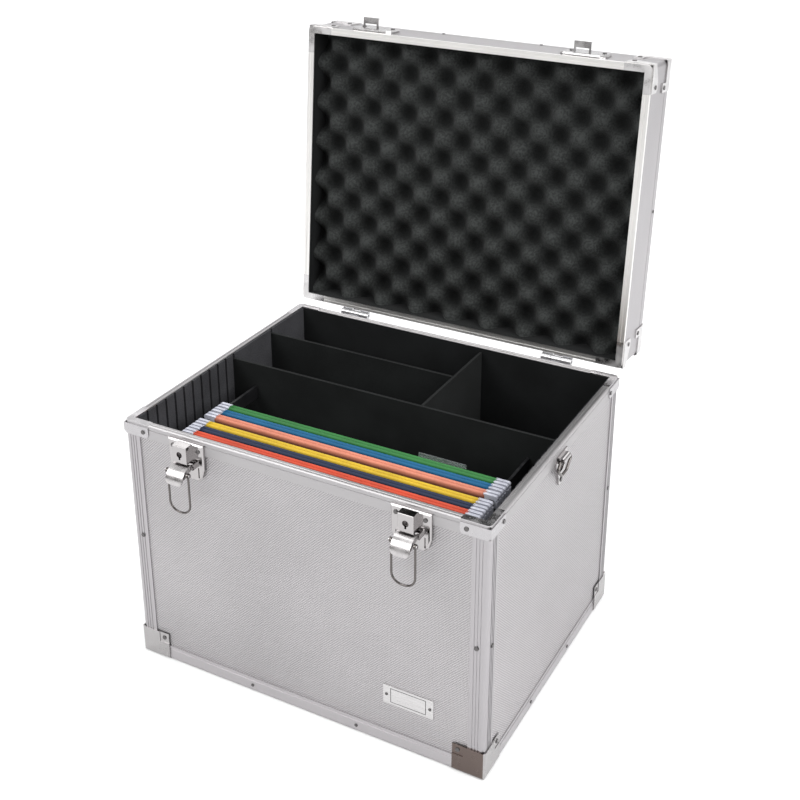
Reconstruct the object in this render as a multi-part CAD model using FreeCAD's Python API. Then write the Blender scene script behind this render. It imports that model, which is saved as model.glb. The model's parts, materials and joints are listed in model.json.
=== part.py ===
import FreeCAD, Part
import math
import os

# Aluminium framed document case with a hinged, foam lined lid and hanging files.
# Millimetres. X is to the right, -Y is the front with the latches, +Z is up.
# The origin is on the floor under the centre of the case.

V = FreeCAD.Vector
X_AXIS = V(1, 0, 0)
Y_AXIS = V(0, 1, 0)
Z_AXIS = V(0, 0, 1)
ORIGIN = V(0, 0, 0)
SIDES = {"left": -1, "right": 1}

# ---- driving dimensions ----
CASE_WIDTH = 410.0
CASE_DEPTH = 330.0
RIM_HEIGHT = 288.0
LID_HEIGHT = 70.0
LID_LEAN = 5.4            # the open lid leans this many degrees back past upright
JOINT_GAP = 0.5           # between the two rims when the lid is closed
SHELL = 1.0               # wall of every aluminium profile
PANEL = 4.0               # laminated board
STAND = 1.5               # the corner caps lift the frame this far off the floor
PROFILE_LEG = 18.0        # width of the corner posts and of the lid's edge profiles
CORNER_RADIUS = 4.5       # outer corners of the frame, seen from above
BASE_LEG = 15.5
RIM_LEG = 16.0
RIM_WIDTH = 7.6
RIM_WEB = 1.5             # thickness of the rim seen from above
LINER = 2.6

# ---- worked out from them ----
HALF_X = CASE_WIDTH / 2
HALF_Y = CASE_DEPTH / 2
PANEL_X = HALF_X - SHELL          # outer face of the side panels
PANEL_Y = HALF_Y - SHELL          # outer face of the front and rear panels
ROOM_X = PANEL_X - PANEL
ROOM_Y = PANEL_Y - PANEL
FLOOR_Z = STAND + SHELL           # underside of the bottom panel
ROOM_Z = FLOOR_Z + PANEL
LINER_TOP = RIM_HEIGHT - RIM_WEB - 0.1
LID_Z = RIM_HEIGHT + JOINT_GAP
LID_TOP = LID_Z + LID_HEIGHT

# ---- hinge ----
HINGE_X = 130.0
HINGE_WIDTH = 36.0
HINGE_SETBACK = 5.4
HINGE_Y = HALF_Y + HINGE_SETBACK
HINGE_Z = RIM_HEIGHT + JOINT_GAP / 2
BARREL_RADIUS = 3.6
HINGE_PIN = 1.5
RUNNING_FIT = 0.07
OPEN_ANGLE = 90 + LID_LEAN

# ---- inside ----
SLOT_PITCH = 15.2
SLOT_WIDTH = 3.4
SLOT_DEPTH = 2.4
SLOT_BACKING = 1.6
BOARD = 3.0               # thickness of the dividing boards
BOARD_TOP = 282.0
PARTITION_Y = 12.0
LONG_DIVIDER_STEP = 5     # slots from the partition to the long divider
LONG_DIVIDER_Y = PARTITION_Y + LONG_DIVIDER_STEP * SLOT_PITCH
CROSS_DIVIDER_X = 43.0
FIT_GAP = 0.3

# ---- hanging files ----
RAIL_X = 166.0
RAIL_THICKNESS = 3.0
RAIL_TOP = 255.0
RAIL_DEPTH = 15.0
# how far behind the case's middle each file hangs, front file first
FILE_PLACES = {"orange": -113.0, "navy": -101.9, "yellow": -90.6, "salmon": -73.8, "blue": -61.8, "green": -50.2}
FILE_HALF = 158.0
FILE_BOTTOM = 20.0
FILE_TOP = 260.0
CARD = 0.7
BAR = 2.2
BAR_HEIGHT = 10.0
BAR_OFFSET = 2.65
HOOK_END = 172.5
HOOK_THICKNESS = 3.4
HOOK_BOTTOM = 246.0
HOOK_SLOT = 4.8           # width of the hook's slot over the rail
TAB_LEFT = 70.0
TAB_RIGHT = 123.0
TAB_RISE = 3.8            # how far the index tab stands above its file
TAB_TUCK = 10.0           # how far it reaches down the file's wall
TAB_SHEET = 0.8

# ---- latches ----
LATCH_X = 126.6
LATCH_TOP = 284.0
LATCH_BOTTOM = 243.0
LATCH_TOP_HALF = 21.0
LATCH_BOTTOM_HALF = 18.0
LATCH_PLATE = 3.5
LOCK_HALF = 8.2
LOCK_BOTTOM = 265.0
LOCK_DEPTH = 10.0
KEYHOLE_Z = 274.5
LEVER_Y = -171.8
LEVER_Z = 260.2
LOOP_Y = -182.6
LOOP_Z = 256.4
LOOP_DROP = 45.4
LOOP_HALF = 12.4
LOOP_BEND = 11.0
LOOP_WIRE = 1.1
LATCH_PIN = 1.2
LEVER_HALF = 10.0
LEVER_LIP_RADIUS = 5.5    # rounded lower corners of the thumb lever
# the lever's bent sheet seen from the side, as (y, z): its outer and its inner face
LEVER_OUTSIDE = [(-174.6, 263.2), (-185.0, 259.4), (-190.8, 246.6)]
LEVER_INSIDE = [(-174.4, 261.6), (-183.7, 258.2), (-189.3, 246.2)]
CHEEK_INSET = 1.1         # from the lever's side to the middle of each cheek
CHEEK = 1.4
EYE_RADIUS = 2.1


# ---------------------------------------------------------------- helpers
def box(x0, x1, y0, y1, z0, z1):
    """Block between two corners, given as low and high of each axis."""
    return Part.makeBox(x1 - x0, y1 - y0, z1 - z0, V(x0, y0, z0))


def centred(half_x, half_y, z0, z1):
    """Block centred on the Z axis."""
    return box(-half_x, half_x, -half_y, half_y, z0, z1)


def rod(start, end, radius):
    """Round bar between two points."""
    along = end.sub(start)
    return Part.makeCylinder(radius, along.Length, start, along)


def prism(points, along):
    """Closed outline swept in a straight line."""
    return Part.Face(Part.makePolygon(points + points[:1])).extrude(along)


def mirror(shape, axis):
    """Copy on the other side of the case's middle plane."""
    return shape.mirror(ORIGIN, axis)


def four_corners(shape):
    """A corner piece repeated at all four corners."""
    right = mirror(shape, X_AXIS)
    return [shape, right, mirror(shape, Y_AXIS), mirror(right, Y_AXIS)]


def fuse(shapes):
    """One solid made of touching or crossing shapes."""
    return shapes[0].fuse(shapes[1:]).removeSplitter()


def upright_edges(shape, x, y):
    """The upright edges of a shape that stand at (x, y)."""
    return [e for e in shape.Edges if all(abs(v.X - x) < 1e-6 and abs(v.Y - y) < 1e-6 for v in e.Vertexes)]


def save(node, shapes):
    """Write one node's solids to its STEP file."""
    solids = [s for shape in shapes for s in shape.Solids]
    shape = solids[0] if len(solids) == 1 else Part.makeCompound(solids)
    bad = [s for s in solids if not s.isValid() or s.Volume <= 0]
    shape.exportStep("parts/%s.step" % node)
    print("%-26s %3d solids %12.1f mm3 %s" % (node, len(solids), shape.Volume, "BAD" if bad else ""))


def rivet_head(place, outward, radius=2.4, height=0.9):
    """Low domed rivet head standing on a surface."""
    head = Part.makeCylinder(radius, height, place, outward)
    rim = max(head.Edges, key=lambda e: e.CenterOfMass.sub(place).dot(outward) if e.Closed else -1)
    return head.makeFillet(height * 0.6, [rim])


def mitred_frame(outline, half_x, half_y):
    """Four mitred bars round a rectangle. The outline is (inward, height) points."""
    bars = []
    far = 60.0
    for turn, run, reach in ((0, half_x, half_y), (90, half_y, half_x), (180, half_x, half_y), (270, half_y, half_x)):
        bar = prism([V(-run, u - reach, z) for u, z in outline], V(2 * run, 0, 0))
        heights = [z for _, z in outline]
        low, high = min(heights) - 1, max(heights) + 1
        wedge = prism(
            [V(-run, -reach, low), V(run, -reach, low), V(run - far, far - reach, low), V(far - run, far - reach, low)],
            V(0, 0, high - low),
        )
        bar = bar.common(wedge)
        bar.rotate(ORIGIN, Z_AXIS, turn)
        bars.append(bar)
    block = centred(half_x, half_y, low - 1, high + 1)
    sharp = [e for x in (-half_x, half_x) for y in (-half_y, half_y) for e in upright_edges(block, x, y)]
    block = block.makeFillet(CORNER_RADIUS, sharp)
    return [bar.common(block) for bar in bars]


def opened(shape):
    """Take a lid piece from its closed place to the open one, about the hinge."""
    copy = shape.copy()
    copy.rotate(V(0, HINGE_Y, HINGE_Z), X_AXIS, -OPEN_ANGLE)
    return copy


def rounded_corner_block(leg_x, leg_y, z0, z1, vertical, top, bottom):
    """Corner block at the front left with its outer edges rounded by three radii."""
    def rounded(a0, a1, b0, b1, low, high, to_point, along):
        """Rectangle with rounded outer corners, swept along."""
        edges = []
        start = (a1, b0)
        if low:
            edges.append(Part.makeLine(to_point(*start), to_point(a0 + low, b0)))
            middle = low * (1 - math.sqrt(0.5))
            edges.append(Part.Arc(to_point(a0 + low, b0), to_point(a0 + middle, b0 + middle),
                                  to_point(a0, b0 + low)).toShape())
            start = (a0, b0 + low)
        else:
            edges.append(Part.makeLine(to_point(*start), to_point(a0, b0)))
            start = (a0, b0)
        if high:
            edges.append(Part.makeLine(to_point(*start), to_point(a0, b1 - high)))
            middle = high * (1 - math.sqrt(0.5))
            edges.append(Part.Arc(to_point(a0, b1 - high), to_point(a0 + middle, b1 - middle),
                                  to_point(a0 + high, b1)).toShape())
            start = (a0 + high, b1)
        else:
            edges.append(Part.makeLine(to_point(*start), to_point(a0, b1)))
            start = (a0, b1)
        edges.append(Part.makeLine(to_point(*start), to_point(a1, b1)))
        edges.append(Part.makeLine(to_point(a1, b1), to_point(a1, b0)))
        return Part.Face(Part.Wire(edges)).extrude(along)

    x0, y0 = -leg_x[1], -leg_y[1]
    x1, y1 = -leg_x[0], -leg_y[0]
    along_x = rounded(y0, y1, z0, z1, bottom, top, lambda a, b: V(x0, a, b), V(x1 - x0, 0, 0))
    along_y = rounded(x0, x1, z0, z1, bottom, top, lambda a, b: V(a, y0, b), V(0, y1 - y0, 0))
    along_z = rounded(x0, x1, y0, y1, vertical, 0, lambda a, b: V(a, b, z0), V(0, 0, z1 - z0))
    return along_x.common(along_y).common(along_z)


# ---------------------------------------------------------------- case shell
def case_panels():
    """Five embossed boards. Each corner post bridges the open corner between two of them."""
    top = RIM_HEIGHT - 4.0
    front = box(-ROOM_X, ROOM_X, -PANEL_Y, -ROOM_Y, FLOOR_Z, top)
    side = box(-PANEL_X, -ROOM_X, -ROOM_Y, ROOM_Y, FLOOR_Z, top)
    bottom = centred(ROOM_X, ROOM_Y, FLOOR_Z, ROOM_Z)
    pad = centred(HALF_X - 38, HALF_Y - 38, STAND, FLOOR_Z)
    save("case_panel_front", [front])
    save("case_panel_rear", [mirror(front, Y_AXIS)])
    save("case_panel_left", [side])
    save("case_panel_right", [mirror(side, X_AXIS)])
    save("case_panel_bottom", [fuse([bottom, pad])])


def corner_posts():
    """Fluted angle along each upright edge, with a rounded outer corner."""
    low, high = FLOOR_Z, RIM_HEIGHT - RIM_LEG
    corner = box(-HALF_X, PROFILE_LEG - HALF_X, -HALF_Y, PROFILE_LEG - HALF_Y, low, high)
    hollow = box(SHELL - HALF_X, PROFILE_LEG + 1 - HALF_X, SHELL - HALF_Y, PROFILE_LEG + 1 - HALF_Y, low - 1, high + 1)
    post = corner.makeFillet(CORNER_RADIUS, upright_edges(corner, -HALF_X, -HALF_Y))
    post = post.cut(hollow.makeFillet(CORNER_RADIUS - SHELL, upright_edges(hollow, SHELL - HALF_X, SHELL - HALF_Y)))
    x0, y0 = -HALF_X, -HALF_Y
    flute_width, flute_depth = 1.4, 0.45
    for step in (6.0, 9.2, 12.4):
        on_front = box(x0 + step, x0 + step + flute_width, y0 - 1, y0 + flute_depth, low - 1, high + 1)
        on_side = box(x0 - 1, x0 + flute_depth, y0 + step, y0 + step + flute_width, low - 1, high + 1)
        post = post.cut(on_front).cut(on_side)
    save("corner_posts", four_corners(post))


def base_edges():
    """Angle along each bottom edge, between the corner posts."""
    outline = [(0, STAND + BASE_LEG), (0, STAND), (BASE_LEG, STAND), (BASE_LEG, FLOOR_Z), (SHELL, FLOOR_Z),
               (SHELL, STAND + BASE_LEG)]
    bars = []
    for half, reach, turn in ((HALF_X, HALF_Y, 0), (HALF_Y, HALF_X, 90)):
        run = half - PROFILE_LEG
        bar = prism([V(-run, u - reach, z) for u, z in outline], V(2 * run, 0, 0))
        bar = bar.cut(box(-run, run, -reach - 1, 0.4 - reach, STAND + 11, STAND + 12.2))
        bar.rotate(ORIGIN, Z_AXIS, turn)
        bars += [bar, mirror(bar, X_AXIS if turn else Y_AXIS)]
    save("base_edges", bars)


def rim_outline():
    """Section of the case rim: outer flange and top web, with fine grooves in both."""
    top = RIM_HEIGHT
    web = top - RIM_WEB
    return [(0, top - RIM_LEG), (0, top - 5.6), (0.4, top - 5.4), (0.4, top - 4.6), (0, top - 4.4), (0, top - 1),
            (1, top), (3, top), (3.3, top - 0.4), (4.1, top - 0.4), (4.4, top), (RIM_WIDTH - 0.6, top),
            (RIM_WIDTH, top - 0.6), (RIM_WIDTH, web), (SHELL, web), (SHELL, top - RIM_LEG)]


CORNER_COVER = 30.0       # leg of the L-shaped cover on each rim corner
COVER_THICKNESS = 0.9


def corner_cover_block(z0, z1):
    """L-shaped cover in the rim's face at the front left corner."""
    outer = box(-HALF_X, CORNER_COVER - HALF_X, -HALF_Y, CORNER_COVER - HALF_Y, z0, z1)
    outer = outer.makeFillet(CORNER_RADIUS, upright_edges(outer, -HALF_X, -HALF_Y))
    reach = CORNER_COVER + 1
    inner = box(RIM_WIDTH - HALF_X, reach - HALF_X, RIM_WIDTH - HALF_Y, reach - HALF_Y, z0 - 1, z1 + 1)
    return outer.cut(inner)


def rims():
    """Mitred rim of the case, and the L-shaped covers let into its corners."""
    recess = corner_cover_block(RIM_HEIGHT - COVER_THICKNESS, RIM_HEIGHT + 1)
    bars = mitred_frame(rim_outline(), HALF_X, HALF_Y)
    for corner in four_corners(recess):
        bars = [bar.cut(corner) for bar in bars]
    save("rim_profiles", bars)

    cover = corner_cover_block(RIM_HEIGHT - COVER_THICKNESS, RIM_HEIGHT)
    out = HALF_X + COVER_THICKNESS
    deep = HALF_Y + COVER_THICKNESS
    low, high = RIM_HEIGHT - 15.0, RIM_HEIGHT
    front = prism([V(-out, -HALF_Y, low + 3), V(3 - out, -HALF_Y, low), V(CORNER_COVER - 2 - HALF_X, -HALF_Y, low),
                   V(CORNER_COVER - HALF_X, -HALF_Y, low + 3), V(CORNER_COVER - HALF_X, -HALF_Y, high - 3),
                   V(-out, -HALF_Y, high - 3)], V(0, -COVER_THICKNESS, 0))
    side = prism([V(-HALF_X, -deep, low + 3), V(-HALF_X, 3 - deep, low), V(-HALF_X, CORNER_COVER - 2 - HALF_Y, low),
                  V(-HALF_X, CORNER_COVER - HALF_Y, low + 3), V(-HALF_X, CORNER_COVER - HALF_Y, high - 3),
                  V(-HALF_X, -deep, high - 3)], V(-COVER_THICKNESS, 0, 0))
    fold = box(-out, -HALF_X, -deep, -HALF_Y, low + 3, high - 3)
    save("rim_corner_plates", four_corners(fuse([front, side, fold])) + four_corners(cover))


CAP_LEG = 34.0
CAP_HEIGHT = 32.0
CAP_WALL = 1.2
CAP_POCKET = 12.0         # square pocket for the rivet at each cap's inner top


def base_caps():
    """Pressed corner shoes the case stands on, with a square pocket for the rivet on each face."""
    skin = rounded_corner_block((HALF_X - CAP_LEG, HALF_X + CAP_WALL), (HALF_Y - CAP_LEG, HALF_Y + CAP_WALL),
                                0, CAP_HEIGHT, 2.2, 0, 3.0)
    core = box(-HALF_X, CAP_LEG + 1 - HALF_X, -HALF_Y, CAP_LEG + 1 - HALF_Y, STAND, CAP_HEIGHT + 1)
    inner = CAP_LEG - 12
    open_floor = box(CAP_LEG - inner - HALF_X, CAP_LEG + 1 - HALF_X, CAP_LEG - inner - HALF_Y, CAP_LEG + 1 - HALF_Y,
                     -1, STAND + 1)
    cap = skin.cut(core).cut(open_floor)
    low = CAP_HEIGHT - CAP_POCKET
    near = CAP_LEG - CAP_POCKET
    front_pocket = box(near - HALF_X, CAP_LEG - HALF_X, -HALF_Y - CAP_WALL - 1, -HALF_Y - 0.6, low, CAP_HEIGHT)
    side_pocket = box(-HALF_X - CAP_WALL - 1, -HALF_X - 0.6, near - HALF_Y, CAP_LEG - HALF_Y, low, CAP_HEIGHT)
    save("base_caps", four_corners(cap.cut(front_pocket).cut(side_pocket)))


# ---------------------------------------------------------------- linings and boards
def slotted_liner():
    """Side lining, slotted upright in front of the partition, with one more slot for the long divider."""
    back = -ROOM_X
    deep = back + SLOT_BACKING
    face = deep + SLOT_DEPTH
    end = ROOM_Y - LINER
    count = int((end + PARTITION_Y) // SLOT_PITCH)
    points = [V(back, -end, ROOM_Z), V(face, -end, ROOM_Z)]
    for step in list(range(1 - count, 1)) + [LONG_DIVIDER_STEP]:
        middle = PARTITION_Y + step * SLOT_PITCH
        low, high = middle - SLOT_WIDTH / 2, middle + SLOT_WIDTH / 2
        points += [V(face, low, ROOM_Z), V(deep, low, ROOM_Z), V(deep, high, ROOM_Z), V(face, high, ROOM_Z)]
    points += [V(face, end, ROOM_Z), V(back, end, ROOM_Z)]
    return prism(points, V(0, 0, LINER_TOP - ROOM_Z))


def linings():
    """Black lining on the walls and the floor."""
    left = slotted_liner()
    front = box(-ROOM_X, ROOM_X, -ROOM_Y, LINER - ROOM_Y, ROOM_Z, LINER_TOP)
    inside = ROOM_X - SLOT_BACKING - SLOT_DEPTH
    floor = centred(inside - FIT_GAP / 3, ROOM_Y - LINER - FIT_GAP / 3, ROOM_Z, ROOM_Z + 2)
    save("liner_left", [left])
    save("liner_right", [mirror(left, X_AXIS)])
    save("liner_front", [front])
    save("liner_rear", [mirror(front, Y_AXIS)])
    save("liner_floor", [floor])


def boards():
    """The fixed partition behind the files, the long divider and the cross divider."""
    end = HALF_X - RIM_WIDTH - FIT_GAP
    low = ROOM_Z + 2 + FIT_GAP
    half = BOARD / 2
    save("partition", [box(-end, end, PARTITION_Y - half, PARTITION_Y + half, low, BOARD_TOP)])
    long_end = CROSS_DIVIDER_X - half - FIT_GAP
    save("divider_long", [box(-end, long_end, LONG_DIVIDER_Y - half, LONG_DIVIDER_Y + half, low, BOARD_TOP)])
    cross_start = PARTITION_Y + half + FIT_GAP
    cross_end = ROOM_Y - LINER - FIT_GAP
    save("divider_cross", [box(CROSS_DIVIDER_X - half, CROSS_DIVIDER_X + half, cross_start, cross_end, low, BOARD_TOP)])


# ---------------------------------------------------------------- hanging files
def file_rails():
    """Upright flat bars from the front lining to the partition, for the files' hooks."""
    for side, sign in SIDES.items():
        x0, x1 = sorted((sign * (RAIL_X - RAIL_THICKNESS / 2), sign * (RAIL_X + RAIL_THICKNESS / 2)))
        rail = box(x0, x1, LINER - ROOM_Y, PARTITION_Y - BOARD / 2, RAIL_TOP - RAIL_DEPTH, RAIL_TOP)
        save("file_rail_" + side, [rail])


def file_card(y):
    """Folded card: flat bottom, two walls, each hemmed over a bar at the top."""
    outer = BAR_OFFSET + BAR / 2 + CARD
    hem = BAR_OFFSET - BAR / 2 - CARD
    flap = FILE_TOP - BAR_HEIGHT - 2
    half = [(outer, FILE_BOTTOM), (outer, FILE_TOP), (hem, FILE_TOP), (hem, flap), (hem + CARD, flap),
            (hem + CARD, FILE_TOP - CARD), (outer - CARD, FILE_TOP - CARD), (outer - CARD, FILE_BOTTOM + CARD)]
    points = half + [(-a, b) for a, b in reversed(half)]
    return prism([V(-FILE_HALF, y + a, b) for a, b in points], V(2 * FILE_HALF, 0, 0))


def file_bar(y):
    """Hanger bar with a hook at each end that sits over the rail."""
    top = FILE_TOP - CARD
    bar = box(-FILE_HALF, FILE_HALF, y - BAR / 2, y + BAR / 2, top - BAR_HEIGHT, top)
    hooks = []
    for sign in SIDES.values():
        inner, outer = sorted((sign * FILE_HALF, sign * HOOK_END))
        hook = box(inner, outer, y - HOOK_THICKNESS / 2, y + HOOK_THICKNESS / 2, HOOK_BOTTOM, FILE_TOP)
        near, far = sorted((sign * (RAIL_X - HOOK_SLOT / 2), sign * (RAIL_X + HOOK_SLOT / 2)))
        slot = box(near, far, y - HOOK_THICKNESS, y + HOOK_THICKNESS, HOOK_BOTTOM - 1, RAIL_TOP + 0.1)
        hooks.append(hook.cut(slot))
    return fuse([bar] + hooks)


def files():
    """Six hanging files, front to back, and the clear index tab on the rearmost."""
    for colour, y in FILE_PLACES.items():
        bars = [file_bar(y - BAR_OFFSET), file_bar(y + BAR_OFFSET)]
        save("file_" + colour, [file_card(y)] + bars)
    tab_y = max(FILE_PLACES.values()) + BAR_OFFSET + BAR / 2 + CARD
    save("index_tab", [box(TAB_LEFT, TAB_RIGHT, tab_y, tab_y + TAB_SHEET, FILE_TOP - TAB_TUCK, FILE_TOP + TAB_RISE)])


# ---------------------------------------------------------------- latches
def latch_plate(x):
    """Pressed plate with two slots and the two lugs and pin that carry the lever."""
    back = -HALF_Y
    face = back - LATCH_PLATE
    points = [V(x - LATCH_TOP_HALF, back, LATCH_TOP), V(x + LATCH_TOP_HALF, back, LATCH_TOP),
              V(x + LATCH_TOP_HALF, back, LATCH_BOTTOM + 14), V(x + LATCH_BOTTOM_HALF, back, LATCH_BOTTOM + 4),
              V(x + LATCH_BOTTOM_HALF - 4, back, LATCH_BOTTOM), V(x - LATCH_BOTTOM_HALF + 4, back, LATCH_BOTTOM),
              V(x - LATCH_BOTTOM_HALF, back, LATCH_BOTTOM + 4), V(x - LATCH_TOP_HALF, back, LATCH_BOTTOM + 14)]
    plate = prism(points, V(0, -LATCH_PLATE, 0))
    front_edges = [e for e in plate.Edges if all(abs(v.Y - face) < 1e-6 for v in e.Vertexes)]
    plate = plate.makeChamfer(1.2, front_edges)
    for sign in SIDES.values():
        slot_x = x + sign * 15.0
        plate = plate.cut(box(slot_x - 0.8, slot_x + 0.8, face - 1, face + 1.6, 247, 258.5))
        lug = box(x + sign * 11 - 0.6, x + sign * 11 + 0.6, LEVER_Y - 2, face + 0.5, LEVER_Z - 3, LEVER_Z + 3)
        plate = plate.fuse(lug)
    pin = rod(V(x - 11.2, LEVER_Y, LEVER_Z), V(x + 11.2, LEVER_Y, LEVER_Z), LATCH_PIN)
    return plate.fuse(pin).removeSplitter()


def lock_housing(x):
    """Box on the plate, with a keyhole through its front wall."""
    back = -HALF_Y - LATCH_PLATE
    front = back - LOCK_DEPTH
    body = box(x - LOCK_HALF, x + LOCK_HALF, front, back, LOCK_BOTTOM, LATCH_TOP)
    edges = [e for e in body.Edges if all(abs(v.Y - front) < 1e-6 for v in e.Vertexes)]
    body = body.makeFillet(0.8, edges)
    bore = rod(V(x, front - 1, KEYHOLE_Z), V(x, back - 1, KEYHOLE_Z), 3.3)
    key_slot = box(x - 1, x + 1, front - 1, back - 1, KEYHOLE_Z - 5.6, KEYHOLE_Z)
    return body.cut(bore).cut(key_slot)


def lock_plug(x):
    """Turning plug behind the keyhole, with a slot for the key."""
    front = -HALF_Y - LATCH_PLATE - LOCK_DEPTH + 1.6
    back = -HALF_Y - LATCH_PLATE - 1.2
    plug = rod(V(x, front, KEYHOLE_Z), V(x, back, KEYHOLE_Z), 3.3 - RUNNING_FIT)
    return plug.cut(box(x - 0.6, x + 0.6, front - 1, front + 4, KEYHOLE_Z - 2.4, KEYHOLE_Z + 1.2))


def arc_through(a, b, c, x):
    """Arc in the plane of a given x, through three (y, z) points."""
    return Part.Arc(V(x, *a), V(x, *b), V(x, *c)).toShape()


def latch_lever(x):
    """Curved thumb lever: a bent sheet with a rounded lip, over two cheeks that turn on the plate's pin."""
    left = x - LEVER_HALF
    edges = [arc_through(*LEVER_OUTSIDE, left), Part.makeLine(V(left, *LEVER_OUTSIDE[2]), V(left, *LEVER_INSIDE[2])),
             arc_through(*reversed(LEVER_INSIDE), left), Part.makeLine(V(left, *LEVER_INSIDE[0]), V(left, *LEVER_OUTSIDE[0]))]
    sheet = Part.Face(Part.Wire(edges)).extrude(V(2 * LEVER_HALF, 0, 0))
    lip = max(LEVER_OUTSIDE[2][1], LEVER_INSIDE[2][1]) + 0.1
    corners = [e for e in sheet.Edges if all(v.Z < lip for v in e.Vertexes)
               and abs(e.Vertexes[0].X - e.Vertexes[1].X) < 1e-6]
    sheet = sheet.makeFillet(LEVER_LIP_RADIUS, corners)
    cheeks = []
    for sign in SIDES.values():
        start = x + sign * (LEVER_HALF - CHEEK_INSET) - CHEEK / 2
        outline = [(LEVER_Y + 0.4, LEVER_Z - 2.1), (LOOP_Y - 2, LOOP_Z - 3.8), (LOOP_Y - 4.6, LOOP_Z - 4.0),
                   (-184.0, 257.6), (-175.0, 261.8), (LEVER_Y + 0.4, LEVER_Z + 1.9)]
        cheek = prism([V(start, *p) for p in outline], V(CHEEK, 0, 0))
        eye = rod(V(start, LEVER_Y, LEVER_Z), V(start + CHEEK, LEVER_Y, LEVER_Z), EYE_RADIUS)
        cheeks.append(cheek.fuse(eye))
    lever = fuse([sheet] + cheeks)
    reach = LEVER_HALF + 1
    pivot = rod(V(x - reach, LEVER_Y, LEVER_Z), V(x + reach, LEVER_Y, LEVER_Z), LATCH_PIN + RUNNING_FIT)
    hanger = rod(V(x - reach, LOOP_Y, LOOP_Z), V(x + reach, LOOP_Y, LOOP_Z), LATCH_PIN + RUNNING_FIT)
    return lever.cut(pivot).cut(hanger)


def loop_pivot(x):
    """Pin through the lever's cheeks with a head at each end, for the wire loop's eyes."""
    end = LOOP_HALF + 1.4
    pin = rod(V(x - end, LOOP_Y, LOOP_Z), V(x + end, LOOP_Y, LOOP_Z), LATCH_PIN)
    heads = [rod(V(x + s * end, LOOP_Y, LOOP_Z), V(x + s * (end + 0.8), LOOP_Y, LOOP_Z), 1.9) for s in SIDES.values()]
    return fuse([pin] + heads)


def latch_loop(x):
    """Wire loop that hangs from the lever and pulls down on the lid's hook."""
    bottom = LOOP_Z - LOOP_DROP
    start = LOOP_Z - 1.9
    left, right = x - LOOP_HALF, x + LOOP_HALF

    def at(a, b):
        """Point in the loop's plane."""
        return V(a, LOOP_Y, b)

    mid = LOOP_BEND * (1 - math.sqrt(0.5))
    side = bottom + LOOP_BEND
    path = [Part.makeLine(at(left, start), at(left, side)),
            Part.Arc(at(left, side), at(left + mid, bottom + mid), at(left + LOOP_BEND, bottom)).toShape(),
            Part.makeLine(at(left + LOOP_BEND, bottom), at(right - LOOP_BEND, bottom)),
            Part.Arc(at(right - LOOP_BEND, bottom), at(right - mid, bottom + mid), at(right, side)).toShape(),
            Part.makeLine(at(right, side), at(right, start))]
    section = Part.Face(Part.Wire(Part.makeCircle(LOOP_WIRE, at(left, start), V(0, 0, -1))))
    wire = Part.Wire(path).makePipe(section)
    half_eye = V(LOOP_WIRE + 0.1, 0, 0)
    eyes = [rod(at(leg, LOOP_Z).sub(half_eye), at(leg, LOOP_Z).add(half_eye), 2.6) for leg in (left, right)]
    hole = rod(at(left - 2, LOOP_Z), at(right + 2, LOOP_Z), LATCH_PIN + RUNNING_FIT)
    return fuse([wire] + eyes).cut(hole)


def strike(x):
    """Raised plate on the lid's front with a windowed hook for the loop."""
    raised = 3.2
    face = -HALF_Y
    low, high = LID_Z + 3.0, LID_Z + 33.0
    points = [V(x - 21, face, low), V(x + 21, face, low), V(x + 25, face, low + 5), V(x + 25, face, high - 5),
              V(x + 21, face, high), V(x - 21, face, high), V(x - 25, face, high - 5), V(x - 25, face, low + 5)]
    plate = prism(points, V(0, -raised, 0))
    front_edges = [e for e in plate.Edges if all(abs(v.Y - face + raised) < 1e-6 for v in e.Vertexes)]
    plate = plate.makeChamfer(1.4, front_edges)
    root = low + 2.6
    tip = face - 16.0
    hook = prism([V(x - 9.5, face - 1.5, root), V(x - 9.5, tip, root), V(x - 9.5, tip, root + 3.0),
                  V(x - 9.5, tip + 1.4, root + 3.0), V(x - 9.5, tip + 1.6, root + 1.5), V(x - 9.5, face - 1.5, root + 1.5)],
                 V(19, 0, 0))
    window = box(x - 7.4, x + 7.4, face - 9.2, face - raised - 0.6, root - 1, root + 2.5)
    return plate.fuse(hook.cut(window)).removeSplitter()


def latches():
    """Both latches, and their strikes on the open lid."""
    for side, sign in SIDES.items():
        x = sign * LATCH_X
        save("latch_plate_" + side, [latch_plate(x)])
        save("lock_housing_" + side, [lock_housing(x)])
        save("lock_plug_" + side, [lock_plug(x)])
        save("latch_lever_" + side, [latch_lever(x)])
        save("loop_pivot_" + side, [loop_pivot(x)])
        save("latch_loop_" + side, [latch_loop(x)])
        save("strike_" + side, [opened(strike(x))])


# ---------------------------------------------------------------- strap brackets and name plate
RING_X = 208.9
RING_Z = 272.5
RING_WIRE = 1.5
STRAP_PLATE = 2.2


def strap_bracket():
    """Shield-shaped plate with a tunnel across its top, on the right side."""
    x0 = PANEL_X
    points = [V(x0, -14, 278), V(x0, 14, 278), V(x0, 14, 268), V(x0, 6.5, 252), V(x0, 6.5, 246), V(x0, 4, 242.5),
              V(x0, -4, 242.5), V(x0, -6.5, 246), V(x0, -6.5, 252), V(x0, -14, 268)]
    plate = prism(points, V(STRAP_PLATE, 0, 0))
    outer = RING_WIRE + 1.9
    tunnel = rod(V(RING_X, -8.5, RING_Z), V(RING_X, 8.5, RING_Z), outer)
    web = box(x0 + 0.5, RING_X, -8.5, 8.5, RING_Z - outer, RING_Z + outer)
    hole = rod(V(RING_X, -9.5, RING_Z), V(RING_X, 9.5, RING_Z), RING_WIRE + RUNNING_FIT)
    step = box(x0 - 1, HALF_X, -20, 20, RIM_HEIGHT - RIM_LEG, RIM_HEIGHT)
    return fuse([plate, tunnel, web]).cut(hole).cut(step)


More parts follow.
